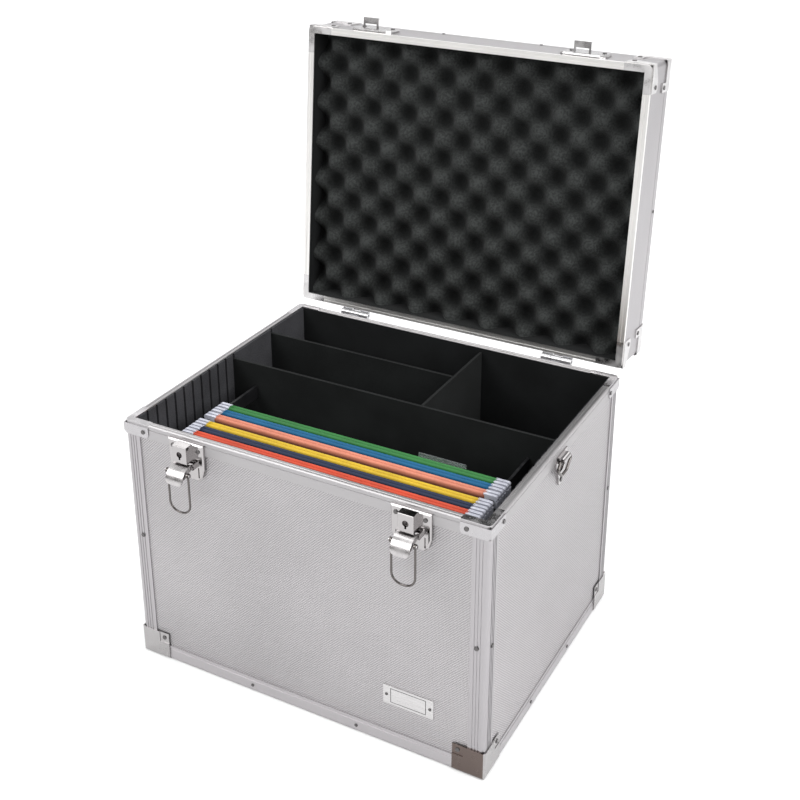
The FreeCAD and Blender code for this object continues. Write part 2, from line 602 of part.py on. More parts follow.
def strap_ring():
    """Three-cornered wire ring that hangs from the bracket's tunnel."""
    corners = [(-11.5, RING_Z), (-17.5, 266.0), (-6.0, 255.5), (6.0, 255.5), (17.5, 266.0), (11.5, RING_Z)]
    spot = [V(RING_X, y, z) for y, z in corners]
    outline = Part.makePolygon(spot + spot[:1])
    bend = 2.6
    rounded = []
    count = len(spot)
    for i, here in enumerate(spot):
        before = here.sub(spot[i - 1])
        after = spot[(i + 1) % count].sub(here)
        turn = before.getAngle(after)
        cut_back = bend * math.tan(turn / 2)
        start = here.sub(V(before).normalize().multiply(cut_back))
        end = here.add(V(after).normalize().multiply(cut_back))
        inward = V(after).normalize().sub(V(before).normalize()).normalize()
        centre = here.add(V(inward).multiply(bend / math.cos(turn / 2)))
        middle = centre.sub(V(inward).multiply(bend))
        rounded.append((start, middle, end))
    edges = []
    for i, (start, middle, end) in enumerate(rounded):
        edges.append(Part.Arc(start, middle, end).toShape())
        edges.append(Part.makeLine(end, rounded[(i + 1) % count][0]))
    along = rounded[0][0].sub(rounded[-1][2])
    wire = Part.Wire(Part.__sortEdges__(edges))
    section = Part.Wire(Part.makeCircle(RING_WIRE, rounded[-1][2], along))
    return wire.makePipeShell([section], True, False)


def fittings():
    """Strap bracket and ring on each side, and the blank plate on the front."""
    bracket = strap_bracket()
    ring = strap_ring()
    save("strap_bracket_right", [bracket])
    save("strap_bracket_left", [mirror(bracket, X_AXIS)])
    save("strap_ring_right", [ring])
    save("strap_ring_left", [mirror(ring, X_AXIS)])
    save("name_plate", [box(94.5, 150.0, -PANEL_Y - 0.8, -PANEL_Y, 50.0, 72.0)])


# ---------------------------------------------------------------- hinges
def hinge_case_leaf(x):
    """Leaf on the case with the middle barrel, the pin and the lug that stops the lid."""
    half = HINGE_WIDTH / 2
    middle = 5.8
    leaf = box(x - half, x + half, HALF_Y, HALF_Y + 1.5, HINGE_Z - 27, HINGE_Z - 5)
    root = box(x - middle, x + middle, HALF_Y, HALF_Y + 1.5, HINGE_Z - 27, HINGE_Z - BARREL_RADIUS)
    web = box(x - middle, x + middle, HALF_Y, HINGE_Y, HINGE_Z - BARREL_RADIUS, HINGE_Z - BARREL_RADIUS + 1.5)
    barrel = rod(V(x - middle, HINGE_Y, HINGE_Z), V(x + middle, HINGE_Y, HINGE_Z), BARREL_RADIUS)
    lug = prism([V(x - middle, HALF_Y + 1, HINGE_Z - 24), V(x - middle, HINGE_Y + 8, HINGE_Z - 6),
                 V(x - middle, HINGE_Y + 8, HINGE_Z + 2.8), V(x - middle, HINGE_Y + 5.6, HINGE_Z + 2.8),
                 V(x - middle, HINGE_Y + 3, HINGE_Z - 1), V(x - middle, HALF_Y + 1, HINGE_Z - 6)], V(2 * middle, 0, 0))
    pin = rod(V(x - half + 0.6, HINGE_Y, HINGE_Z), V(x + half - 0.6, HINGE_Y, HINGE_Z), HINGE_PIN)
    return fuse([leaf, root, web, barrel, lug, pin])


def hinge_lid_leaf(x):
    """Leaf on the lid with the two outer barrels."""
    half = HINGE_WIDTH / 2
    inner = 6.2
    pieces = [box(x - half, x + half, HALF_Y, HALF_Y + 1.5, HINGE_Z + 3.8, HINGE_Z + 27)]
    for sign in SIDES.values():
        x0, x1 = sorted((x + sign * inner, x + sign * half))
        pieces.append(rod(V(x0, HINGE_Y, HINGE_Z), V(x1, HINGE_Y, HINGE_Z), BARREL_RADIUS))
        pieces.append(box(x0, x1, HALF_Y, HINGE_Y, HINGE_Z + BARREL_RADIUS - 1.5, HINGE_Z + BARREL_RADIUS))
        pieces.append(box(x0, x1, HALF_Y, HALF_Y + 1.5, HINGE_Z + BARREL_RADIUS - 1.5, HINGE_Z + 4.5))
    bore = rod(V(x - half - 1, HINGE_Y, HINGE_Z), V(x + half + 1, HINGE_Y, HINGE_Z), HINGE_PIN + RUNNING_FIT)
    return fuse(pieces).cut(bore)


def hinges():
    """Two stop hinges across the back."""
    places = [sign * HINGE_X for sign in SIDES.values()]
    save("hinge_case_leaves", [hinge_case_leaf(x) for x in places])
    save("hinge_lid_leaves", [opened(hinge_lid_leaf(x)) for x in places])


# ---------------------------------------------------------------- lid
STRIP_TOP = 52.0          # height on the lid where the smooth strip meets the edge profile
EDGE_RADIUS = 9.0
LEDGE = 12.0
LID_WALL = 4.0
FELT = 2.4


def lid_frame():
    """Rim lip, smooth side strip and rounded edge profile, each a mitred frame."""
    z = LID_Z
    rim = [(0, z), (3, z), (3.3, z + 0.4), (4.1, z + 0.4), (4.4, z), (RIM_WIDTH, z), (RIM_WIDTH, z + RIM_WEB),
           (LID_WALL, z + RIM_WEB), (LID_WALL, z + 4), (0, z + 4)]
    strip = [(0, z + 4), (0.6, z + 4.8), (0, z + 5.6), (0, z + STRIP_TOP - 0.8), (0.8, z + STRIP_TOP), (SHELL, z + STRIP_TOP),
             (SHELL, z + 61), (3.2, z + 65), (LEDGE, z + 65), (LEDGE, z + 61), (LID_WALL, z + 61), (LID_WALL, z + 4)]
    bars = mitred_frame(rim, HALF_X, HALF_Y)
    recess = corner_cover_block(z - 1, z + COVER_THICKNESS)
    for corner in four_corners(recess):
        bars = [bar.cut(corner) for bar in bars]
    save("lid_rim_profiles", [opened(b) for b in bars])
    save("lid_side_strips", [opened(b) for b in mitred_frame(strip, HALF_X, HALF_Y)])

    top = LID_TOP
    steps = 8
    turn = [math.radians(90 * i / steps) for i in range(steps + 1)]
    outer = [(EDGE_RADIUS * (1 - math.cos(a)), top - EDGE_RADIUS * (1 - math.sin(a))) for a in turn]
    thin = EDGE_RADIUS - SHELL
    inner = [(EDGE_RADIUS - thin * math.cos(a), top - EDGE_RADIUS + thin * math.sin(a)) for a in turn]
    edge = [(0, z + STRIP_TOP)] + outer + [(PROFILE_LEG, top), (PROFILE_LEG, top - SHELL)] + inner[::-1]
    edge.append((SHELL, z + STRIP_TOP))
    save("lid_edge_profiles", [opened(b) for b in mitred_frame(edge, HALF_X, HALF_Y)])


def lid_panel():
    """Embossed board in the top of the lid."""
    inset = EDGE_RADIUS
    return centred(HALF_X - inset, HALF_Y - inset, LID_TOP - SHELL - PANEL, LID_TOP - SHELL)


def lid_lining():
    """Felt tray inside the lid, and the block of foam that fills it."""
    low, high = LID_Z + RIM_WEB, LID_Z + 61
    half_x, half_y = HALF_X - LID_WALL, HALF_Y - LID_WALL
    tray = centred(half_x, half_y, low, high)
    tray = tray.cut(centred(half_x - FELT, half_y - FELT, low - 1, high - FELT))
    foam = centred(half_x - FELT, half_y - FELT, LID_Z + 9, high - FELT)
    save("lid_liner", [opened(tray)])
    save("lid_foam", [opened(foam)])


LID_CAP_LEG = 33.0


def lid_corner_caps():
    """Rounded metal cap on each outer corner of the lid, with a tab for its rivet."""
    low = LID_Z + STRIP_TOP - 2
    skin = rounded_corner_block((HALF_X - LID_CAP_LEG, HALF_X + CAP_WALL), (HALF_Y - LID_CAP_LEG, HALF_Y + CAP_WALL),
                                low, LID_TOP + CAP_WALL, 3.0, EDGE_RADIUS + CAP_WALL, 0)
    core = rounded_corner_block((HALF_X - LID_CAP_LEG - 1, HALF_X), (HALF_Y - LID_CAP_LEG - 1, HALF_Y),
                                low - 1, LID_TOP, 0, EDGE_RADIUS, 0)
    tab_x0, tab_x1 = LID_CAP_LEG - 10 - HALF_X, LID_CAP_LEG - HALF_X
    front_tab = box(tab_x0, tab_x1, -HALF_Y - CAP_WALL, -HALF_Y, low - 11, low + 1)
    side_tab = box(-HALF_X - CAP_WALL, -HALF_X, LID_CAP_LEG - 10 - HALF_Y, LID_CAP_LEG - HALF_Y, low - 11, low + 1)
    cap = skin.cut(core).fuse([front_tab, side_tab]).removeSplitter()
    cut_back = CAP_LEG
    open_top = box(LID_CAP_LEG - 16 - HALF_X, cut_back - HALF_X, LID_CAP_LEG - 16 - HALF_Y, cut_back - HALF_Y,
                   LID_TOP - 1, LID_TOP + 5)
    return cap.cut(open_top)


def lid_corner_plate():
    """Small bent plate round the rim corner of the lid."""
    out, deep = HALF_X + COVER_THICKNESS, HALF_Y + COVER_THICKNESS
    low, high = LID_Z + 3.0, LID_Z + 22.0
    front = prism([V(-out, -HALF_Y, low), V(CORNER_COVER - HALF_X, -HALF_Y, low),
                   V(CORNER_COVER - HALF_X, -HALF_Y, high - 3), V(CORNER_COVER - 3 - HALF_X, -HALF_Y, high),
                   V(CORNER_COVER - 10 - HALF_X, -HALF_Y, high), V(-out, -HALF_Y, high - 9)], V(0, -COVER_THICKNESS, 0))
    side = prism([V(-HALF_X, -deep, low), V(-HALF_X, CORNER_COVER - HALF_Y, low),
                  V(-HALF_X, CORNER_COVER - HALF_Y, high - 3), V(-HALF_X, CORNER_COVER - 3 - HALF_Y, high),
                  V(-HALF_X, CORNER_COVER - 10 - HALF_Y, high), V(-HALF_X, -deep, high - 9)], V(-COVER_THICKNESS, 0, 0))
    fold = box(-out, -HALF_X, -deep, -HALF_Y, low, high - 9)
    return fuse([front, side, fold])


HANDLE_X = 62.0
HANDLE_HEIGHT = 10.0      # pivot above the lid's top
HANDLE_PIN = 2.0
GRIP_REACH = 36.0
GRIP_RADIUS = 7.5


def handle_mounts():
    """Two brackets on top of the lid, each a plate with two ears and a pin."""
    top = LID_TOP
    pivot = top + HANDLE_HEIGHT
    mounts = []
    for sign in SIDES.values():
        x = sign * HANDLE_X
        base = box(x - 13, x + 13, -14, 14, top, top + 2)
        pieces = [base]
        for ear in (-7.5, 7.5):
            pieces.append(box(x + ear - 1, x + ear + 1, -4, 4, top + 1, pivot))
            pieces.append(rod(V(x + ear - 1, 0, pivot), V(x + ear + 1, 0, pivot), 4))
        pieces.append(rod(V(x - 8, 0, pivot), V(x + 8, 0, pivot), HANDLE_PIN))
        mounts.append(fuse(pieces))
    return mounts


def handle():
    """Grip between two arms, folded back over the lid, each arm turning on its pin."""
    pivot = LID_TOP + HANDLE_HEIGHT
    pieces = []
    for sign in SIDES.values():
        x = sign * HANDLE_X
        pieces.append(rod(V(x - 5.5, 0, pivot), V(x + 5.5, 0, pivot), 4.4))
        pieces.append(box(x - 5.5, x + 5.5, 0, GRIP_REACH, pivot - 3.6, pivot + 3.6))
        pieces.append(Part.makeSphere(GRIP_RADIUS, V(x, GRIP_REACH, pivot)))
    pieces.append(rod(V(-HANDLE_X, GRIP_REACH, pivot), V(HANDLE_X, GRIP_REACH, pivot), GRIP_RADIUS))
    solid = fuse(pieces)
    for sign in SIDES.values():
        x = sign * HANDLE_X
        solid = solid.cut(rod(V(x - 7, 0, pivot), V(x + 7, 0, pivot), HANDLE_PIN + RUNNING_FIT))
    solid.rotate(V(0, 0, pivot), X_AXIS, LID_LEAN)
    return solid


def lid():
    """All the lid's pieces, in their open place."""
    lid_frame()
    lid_lining()
    save("lid_panel", [opened(lid_panel())])
    save("lid_corner_caps", [opened(s) for s in four_corners(lid_corner_caps())])
    covers = four_corners(lid_corner_plate()) + four_corners(corner_cover_block(LID_Z, LID_Z + COVER_THICKNESS))
    save("lid_corner_plates", [opened(s) for s in covers])
    save("handle_mounts", [opened(s) for s in handle_mounts()])
    save("handle", [opened(handle())])


# ---------------------------------------------------------------- rivets
def case_rivets():
    """Rivet heads of the case: posts, base edges, caps, corner plates, latches, brackets, plate, hinges."""
    front, right = V(0, -1, 0), V(1, 0, 0)
    post_x, post_y = HALF_X - 11, HALF_Y - 11
    cap_x, cap_y = HALF_X - CAP_LEG + 6, HALF_Y - CAP_LEG + 6
    plate_x, plate_y = HALF_X - 23.5, HALF_Y - 26
    on_front = [(post_x, HALF_Y, 152), (cap_x, HALF_Y + 0.6, CAP_HEIGHT - 6), (plate_x, HALF_Y + COVER_THICKNESS, 279)]
    on_side = [(HALF_X, post_y, 152), (HALF_X + 0.6, cap_y, CAP_HEIGHT - 6), (HALF_X + COVER_THICKNESS, plate_y, 279)]
    heads = [rivet_head(V(-x, -y, z), front) for x, y, z in on_front]
    heads += [rivet_head(V(-x, -y, z), V(-1, 0, 0)) for x, y, z in on_side]
    heads = [copy for head in heads for copy in four_corners(head)]
    edge_z = STAND + 5.5
    for head, flip in ((rivet_head(V(-63, -HALF_Y, edge_z), front, 1.8), Y_AXIS),
                       (rivet_head(V(-HALF_X, -50, edge_z), V(-1, 0, 0), 1.8), X_AXIS)):
        heads += four_corners(head)
    for sign in SIDES.values():
        latch_face = -HALF_Y - LATCH_PLATE
        for offset in (-15.3, 15.3):
            heads.append(rivet_head(V(sign * LATCH_X + offset, latch_face, 277), front, 2.3, 1.1))
        strap_face = sign * (PANEL_X + STRAP_PLATE)
        heads.append(rivet_head(V(strap_face, 0, 247.5), V(sign, 0, 0), 2.6))
        for offset in (-13, 0, 13):
            place = V(sign * HINGE_X + offset, HALF_Y + 1.5, HINGE_Z - (22 if offset else 25.5))
            if offset:
                heads.append(rivet_head(place, V(0, 1, 0), 2.2))
    for x in (98.3, 146.2):
        heads.append(rivet_head(V(x, -PANEL_Y - 0.8, 61), front, 1.6, 0.7))
    save("case_rivets", heads)


def lid_rivets():
    """Rivet heads of the lid: caps, corner plates, edge profiles, strikes, hinges, handle."""
    front = V(0, -1, 0)
    cap_z = LID_Z + STRIP_TOP - 7
    cap_in, plate_in = LID_CAP_LEG - 5, CORNER_COVER - 6
    heads = []
    for inset, out, z in ((cap_in, CAP_WALL, cap_z), (plate_in, COVER_THICKNESS, LID_Z + 15)):
        heads += four_corners(rivet_head(V(inset - HALF_X, -HALF_Y - out, z), front))
        heads += four_corners(rivet_head(V(-HALF_X - out, inset - HALF_Y, z), V(-1, 0, 0)))
    heads += four_corners(rivet_head(V(-60, -HALF_Y, LID_Z + 57), front, 1.8))
    side = rivet_head(V(-HALF_X, 0, LID_Z + 57), V(-1, 0, 0), 1.8)
    heads += [side, mirror(side, X_AXIS)]
    for sign in SIDES.values():
        for offset in (-18.5, 18.5):
            place = V(sign * LATCH_X + offset, -HALF_Y - 3.2, LID_Z + 24)
            heads.append(rivet_head(place, front, 2.3, 1.1))
        for offset in (-13, 13):
            heads.append(rivet_head(V(sign * HINGE_X + offset, HALF_Y + 1.5, HINGE_Z + 20), V(0, 1, 0), 2.2))
        for y in (-10, 10):
            heads.append(rivet_head(V(sign * HANDLE_X, y, LID_TOP + 2), Z_AXIS, 2.2))
    save("lid_rivets", [opened(head) for head in heads])


def main():
    """Write every node of the case."""
    os.makedirs("parts", exist_ok=True)
    case_panels()
    corner_posts()
    base_edges()
    rims()
    base_caps()
    linings()
    boards()
    file_rails()
    files()
    latches()
    fittings()
    hinges()
    lid()
    case_rivets()
    lid_rivets()


main()
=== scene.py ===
# %% [markdown]
# # An open document case
# The case is a box of embossed aluminium boards held in fluted aluminium profiles, with plated
# latches on the front, a lid full of egg-crate foam, and coloured hanging files inside.
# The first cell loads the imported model. Its parts are a fixed frame: nothing moves them here,
# and each piece made below is put where that frame says.

# %% Load the frame
import json
import math

import bpy
import numpy as np
from mathutils import Matrix, Vector


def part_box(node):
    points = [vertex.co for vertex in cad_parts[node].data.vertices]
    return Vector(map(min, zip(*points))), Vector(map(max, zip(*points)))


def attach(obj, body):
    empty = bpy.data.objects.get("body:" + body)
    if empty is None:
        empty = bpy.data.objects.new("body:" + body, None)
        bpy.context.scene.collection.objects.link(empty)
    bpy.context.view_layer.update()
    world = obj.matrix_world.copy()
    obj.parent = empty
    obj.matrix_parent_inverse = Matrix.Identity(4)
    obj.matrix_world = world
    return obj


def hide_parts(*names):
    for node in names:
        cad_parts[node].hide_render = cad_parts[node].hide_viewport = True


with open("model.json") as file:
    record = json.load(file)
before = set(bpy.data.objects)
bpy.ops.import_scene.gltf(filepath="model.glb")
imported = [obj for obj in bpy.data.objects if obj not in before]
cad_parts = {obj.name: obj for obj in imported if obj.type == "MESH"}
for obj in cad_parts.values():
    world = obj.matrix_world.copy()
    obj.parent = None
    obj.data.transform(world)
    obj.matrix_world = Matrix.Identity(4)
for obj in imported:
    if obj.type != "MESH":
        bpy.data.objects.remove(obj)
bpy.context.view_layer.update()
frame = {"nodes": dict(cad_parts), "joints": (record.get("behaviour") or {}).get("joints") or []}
nodes = frame["nodes"]

# %% [markdown]
# ## Camera
# The case is seen from its front right, from a little above. The lens is a short telephoto, so
# upright edges lean in only slightly. The small shift frames the open lid without tilting the view,
# and the camera is turned a sixth of a degree about its own axis, as one held by hand would be.

# %% Camera
camera_place = Vector((0.5915, -1.0396, 0.9254))
camera_target = Vector((0.0390, 0.0, 0.4353))
camera_data = bpy.data.cameras.new("camera")
camera_data.sensor_width = 36
camera_data.lens = 57.70
camera_data.shift_x = -0.0164
camera_data.shift_y = -0.1575
camera = bpy.data.objects.new("camera", camera_data)
bpy.context.scene.collection.objects.link(camera)
camera.location = camera_place
looking = (camera_target - camera_place).to_track_quat("-Z", "Y").to_matrix()
camera.rotation_euler = (looking @ Matrix.Rotation(math.radians(0.165), 3, "Z")).to_euler()
bpy.context.scene.camera = camera
print("camera distance", round((camera_target - camera_place).length, 3), "m")

# %% [markdown]
# ## A small kit for wiring finishes
# A finish is a network of nodes. The same few steps come back in each one: take the piece's own
# coordinates, stretch them, make a pattern from them, and send it to the colour, the roughness and
# the bump. The class below does one step per call, so each finish further down reads as a short list.

# %% Finish kit
class Finish:
    """A material being wired, one node per call."""

    def __init__(self, name, colour=(0.5, 0.5, 0.5), metal=0.0, rough=0.5, **sockets):
        self.material = bpy.data.materials.new(name)
        self.material.use_nodes = True
        self.tree = self.material.node_tree
        self.shader = self.tree.nodes["Principled BSDF"]
        self.shader.inputs["Base Color"].default_value = (*colour, 1)
        self.shader.inputs["Metallic"].default_value = metal
        self.shader.inputs["Roughness"].default_value = rough
        for socket, value in sockets.items():
            self.shader.inputs[socket.replace("_", " ")].default_value = value
        self.here = self.tree.nodes.new("ShaderNodeTexCoord").outputs["Object"]

    def node(self, kind, inputs=(), **settings):
        """A node of that kind. Inputs are (name or number, value or socket) pairs."""
        made = self.tree.nodes.new("ShaderNode" + kind)
        for key, value in settings.items():
            setattr(made, key, value)
        for socket, value in inputs:
            if isinstance(value, bpy.types.NodeSocket):
                self.tree.links.new(value, made.inputs[socket])
            else:
                made.inputs[socket].default_value = value
        return made

    def stretched(self, scale, turn=(0, 0, 0)):
        """The piece's own coordinates, turned and then scaled along each axis."""
        turned = self.node("Mapping", [("Vector", self.here), ("Rotation", turn)])
        return self.node("Mapping", [("Vector", turned.outputs[0]), ("Scale", scale)]).outputs[0]

    def noise(self, size, detail=3.0, where=None):
        """Cloudy noise from 0 to 1, with blobs about as large as size, in metres."""
        place = self.here if where is None else where
        made = self.node("TexNoise", [("Vector", place), ("Scale", 1 / size), ("Detail", detail)])
        return made.outputs["Fac"]

    def math(self, what, a, b=0.0, c=0.0):
        """One arithmetic step on two or three values."""
        return self.node("Math", [(0, a), (1, b), (2, c)], operation=what).outputs[0]

    def spread(self, value, low, high, start=0.3, end=0.7):
        """Value from start..end laid out smoothly over low..high."""
        made = self.node("MapRange", [("Value", value), ("From Min", start), ("From Max", end),
                                      ("To Min", low), ("To Max", high)], interpolation_type="SMOOTHSTEP")
        return made.outputs["Result"]

    def blend(self, value, dark, light):
        """A colour from dark to light as value goes from 0 to 1. Each end is a colour or a socket."""
        ends = [end if isinstance(end, bpy.types.NodeSocket) else (*end, 1) for end in (dark, light)]
        return self.node("Mix", [(0, value), (6, ends[0]), (7, ends[1])], data_type="RGBA").outputs[2]

    def dot(self, vector):
        """The coordinates' length along a vector: x times its x, plus y times y, plus z times z."""
        made = self.node("VectorMath", [(0, self.here), (1, vector)], operation="DOT_PRODUCT")
        return made.outputs["Value"]

    def bump(self, height, depth, under=None):
        """Raises the surface by up to depth, in metres, on top of an earlier bump."""
        inputs = [("Height", height), ("Distance", depth), ("Strength", 1.0)]
        if under is not None:
            inputs.append(("Normal", under))
        return self.node("Bump", inputs).outputs["Normal"]

    def send(self, **sockets):
        """Joins each pattern to the shader's socket of that name and returns the material."""
        for socket, value in sockets.items():
            self.tree.links.new(value, self.shader.inputs[socket.replace("_", " ")])
        return self.material


def scaled(colour, amount):
    """The colour with each channel times amount, and at most 1."""
    return tuple(min(1, channel * amount) for channel in colour)


def coat(node_names, material):
    """Gives the named frame parts a finish."""
    for name in node_names:
        nodes[name].data.materials.clear()
        nodes[name].data.materials.append(material)
    print(material.name, "on", len(node_names), "parts")


# %% [markdown]
# ## Embossed aluminium boards
# The walls are plywood faced with thin aluminium that was rolled between patterned rollers. The
# roller leaves rows of small slanted lozenges, about 2 mm apart, on a satin surface. Two families
# of slanted waves multiplied together give such lozenges. One family is stronger than the other,
# so the eye reads it as slanted lines, as on the real sheet.

# %% Embossed sheet
emboss_pitch = 0.0020
emboss_relief = 0.0002


def embossed_sheet(name, strong, weak, colour):
    """Height is the raised cosine of the place along strong, times one of the place along weak."""
    f = Finish(name, metal=1.0, rough=0.44)
    turns = 2 * math.pi / emboss_pitch
    first = f.math("COSINE", f.math("MULTIPLY", f.dot(strong), turns))
    second = f.math("COSINE", f.math("MULTIPLY", f.dot(weak), turns))
    crossed = f.math("MULTIPLY", first, second)
    lozenge = f.math("MULTIPLY_ADD", crossed, 0.5, f.math("MULTIPLY", first, 0.5))
    clouds = f.noise(0.16, 4)
    grain = f.noise(0.0006, 2)
    lightening = f.math("MULTIPLY_ADD", grain, 0.25, f.math("MULTIPLY", clouds, 0.75))
    # Painted shade: the lozenges also set the colour, darker in their hollows, as the relief's shading;
    # the clouds and grain add the sheet's own uneven satin tone.
    shade = f.math("MULTIPLY_ADD", lozenge, 0.62, f.spread(lightening, 0.28, 0.60))
    return f.send(Base_Color=f.blend(shade, scaled(colour, 0.62), scaled(colour, 1.22)),
                  Roughness=f.spread(lightening, 0.38, 0.52),
                  Normal=f.bump(grain, 0.00004, f.bump(lozenge, emboss_relief)))


sheet_colour = (0.472, 0.457, 0.466)
wall_sheet = embossed_sheet("embossed_sheet", (0.7, -0.7, -0.7), (0.7, -0.7, 0.7), sheet_colour)
coat(["case_panel_front", "case_panel_rear", "case_panel_left", "case_panel_right", "lid_panel"],
     wall_sheet)
base_sheet = embossed_sheet("embossed_base_sheet", (0.7, 0.7, 0), (0.7, -0.7, 0), sheet_colour)
coat(["case_panel_bottom"], base_sheet)

# %% [markdown]
# ## Drawn profiles
# The posts, rims and edges are extruded: metal pushed through a die, which leaves fine lines along
# the length of each bar. Noise squeezed thin across the bar and stretched along it gives those
# lines. A bar that runs along X and one that runs along Y need different stretches, so a mask
# picks the right one by how far the point is from the case's middle.

# %% Drawn profiles
def drawn_metal(name, colour, rough, stretch, beyond=None):
    """Noise stretched along the bar.

    Beyond is (axis, edge, stretch): a point further than edge from the middle, along that axis,
    takes that stretch instead.
    """
    f = Finish(name, metal=1.0, rough=rough)
    drawn = f.noise(0.001, 2, f.stretched(stretch))
    if beyond:
        axis, edge, outer_stretch = beyond
        past = f.math("GREATER_THAN", f.math("ABSOLUTE", f.dot(axis)), edge)
        outer = f.noise(0.001, 2, f.stretched(outer_stretch))
        drawn = f.math("ADD", f.math("MULTIPLY", outer, past),
                       f.math("MULTIPLY", drawn, f.math("SUBTRACT", 1.0, past)))
    clouds = f.noise(0.05, 4)
    shade = f.math("MULTIPLY_ADD", drawn, 0.5, f.math("MULTIPLY", clouds, 0.5))
    return f.send(Base_Color=f.blend(shade, scaled(colour, 0.94), scaled(colour, 1.04)),
                  Roughness=f.spread(shade, rough - 0.03, rough + 0.04), Normal=f.bump(drawn, 0.00001))


along_x, along_y, along_z = (0.02, 2.0, 2.0), (2.0, 0.02, 2.0), (2.0, 2.0, 0.02)
front_and_rear_bars = ((0, 1, 0), 0.146, along_x)
upright_bars = ((1, 0, 0), 0.19, along_z)
profile_colour, base_colour = (0.385, 0.372, 0.382), (0.45, 0.435, 0.445)
# Painted highlight: the lid's rim profiles are coloured more than twice as light as the other drawn
# profiles, to show the light they catch.
rim_colour, lid_rim_painted_bright = (0.40, 0.39, 0.395), (0.84, 0.83, 0.81)
coat(["corner_posts"], drawn_metal("drawn_post", profile_colour, 0.34, along_z))
coat(["base_edges"], drawn_metal("drawn_base", base_colour, 0.3, along_y, front_and_rear_bars))
coat(["rim_profiles"], drawn_metal("drawn_rim", rim_colour, 0.44, along_y, front_and_rear_bars))
coat(["lid_side_strips", "lid_edge_profiles"],
     drawn_metal("drawn_lid", profile_colour, 0.34, along_x, upright_bars))
coat(["lid_rim_profiles"], drawn_metal("drawn_lid_rim", lid_rim_painted_bright, 0.36, along_x, upright_bars))

# %% [markdown]
# ## Plated and polished fittings
# The latches, rings and corner shoes are pressed steel, plated and polished. They mirror the room,
# so most of their look comes from the lights. Faint clouds in the roughness stand for handling,
# and a very shallow bump for the orange-peel that pressing leaves. The case's right-hand shoes
# have a painted brown reflection on their front and rear faces, so their steel has a finish of its own.

# %% Plated fittings
def plated(name, colour, rough, wave=0.012, depth=0.00005):
    """Mirror metal with cloudy roughness, fine scratches and a shallow wave."""
    f = Finish(name, metal=1.0, rough=rough)
    clouds = f.noise(wave, 3)
    scratches = f.noise(0.002, 2, f.stretched((6, 0.4, 6), (0.4, 0.7, 0.2)))
    tone_mix = f.math("MULTIPLY_ADD", scratches, 0.4, f.math("MULTIPLY", clouds, 0.6))
    return f.send(Base_Color=f.blend(tone_mix, scaled(colour, 0.88), colour),
                  Roughness=f.spread(tone_mix, rough * 0.5, rough * 1.7), Normal=f.bump(clouds, depth))


def polished_shoe_painted_reflection():
    """Polished steel with a painted brown reflection from the left shoes to the right ones, except on the
    outer sides.

    The painted brown grows with x from the left shoes to the right ones, and stops where x reaches the
    right sides' outer faces.
    """
    left_shoes, right_shoes, outer_face = -0.15, 0.17, 0.2045
    f = Finish("polished_shoe", metal=1.0, rough=0.2)
    clouds = f.noise(0.012, 3)
    place = f.dot((1, 0, 0))
    growing = f.spread(place, 0.0, 1.0, left_shoes, right_shoes)
    brown = f.math("MULTIPLY", growing, f.math("LESS_THAN", place, outer_face))
    steel = f.blend(clouds, (0.36, 0.35, 0.35), (0.42, 0.41, 0.41))
    # Painted reflection: the brown on the right-hand shoes stands for the darker surroundings they mirror.
    return f.send(Base_Color=f.blend(brown, steel, (0.135, 0.108, 0.098)),
                  Roughness=f.spread(clouds, 0.12, 0.3), Normal=f.bump(clouds, 0.00005))


chrome = plated("bright_plate", (0.42, 0.405, 0.405), 0.10)
coat(["latch_plate_left", "latch_plate_right", "loop_pivot_left", "loop_pivot_right", "strap_bracket_left",
      "strap_bracket_right", "lock_housing_left", "lock_housing_right", "handle_mounts"], chrome)
coat(["latch_lever_left", "latch_lever_right"], plated("satin_lever", (0.50, 0.485, 0.485), 0.24))
coat(["strike_left", "strike_right"], plated("satin_strike", (0.52, 0.51, 0.51), 0.2))
# Painted reflection: the loops and rings are plated steel, and their very dark colour stands for the dark
# surroundings they mirror.
coat(["latch_loop_left", "latch_loop_right", "strap_ring_left", "strap_ring_right"],
     plated("wire", (0.13, 0.12, 0.115), 0.15))
coat(["base_caps"], polished_shoe_painted_reflection())
coat(["rim_corner_plates"], plated("polished_cover", (0.46, 0.45, 0.46), 0.26))
coat(["lid_corner_caps", "lid_corner_plates"], plated("lid_cover", (0.66, 0.65, 0.65), 0.34))
coat(["hinge_case_leaves", "hinge_lid_leaves"], plated("hinge_steel", (0.50, 0.50, 0.51), 0.2))
coat(["lock_plug_left", "lock_plug_right"], plated("lock_steel", (0.12, 0.11, 0.11), 0.3))
coat(["case_rivets", "lid_rivets"], plated("rivet_steel", (0.13, 0.125, 0.125), 0.25, wave=0.003))

# %% [markdown]
# ## Black lining
# The walls are lined with thin foam covered in short black pile. The pile is too short to model
# hair by hair. A fine noise in the bump, a sheen, and a slow change of shade where the pile lies
# one way or another give its soft look.

# %% Black lining
def pile(name, dark, light, nap=0.0009, depth=0.00018, rough=0.95):
    """Short pile: fine noise for the fibres, slow noise for the way they lie."""
    f = Finish(name, rough=rough, Specular_IOR_Level=0.15, Sheen_Weight=0.05, Sheen_Roughness=0.5)
    fibres = f.noise(nap, 4)
    lie = f.noise(0.05, 3)
    shade = f.math("MULTIPLY_ADD", fibres, 0.55, f.math("MULTIPLY", lie, 0.45))
    return f.send(Base_Color=f.blend(f.spread(shade, 0.0, 1.0, 0.35, 0.65), dark, light),
                  Roughness=f.spread(shade, rough - 0.12, rough), Normal=f.bump(fibres, depth))


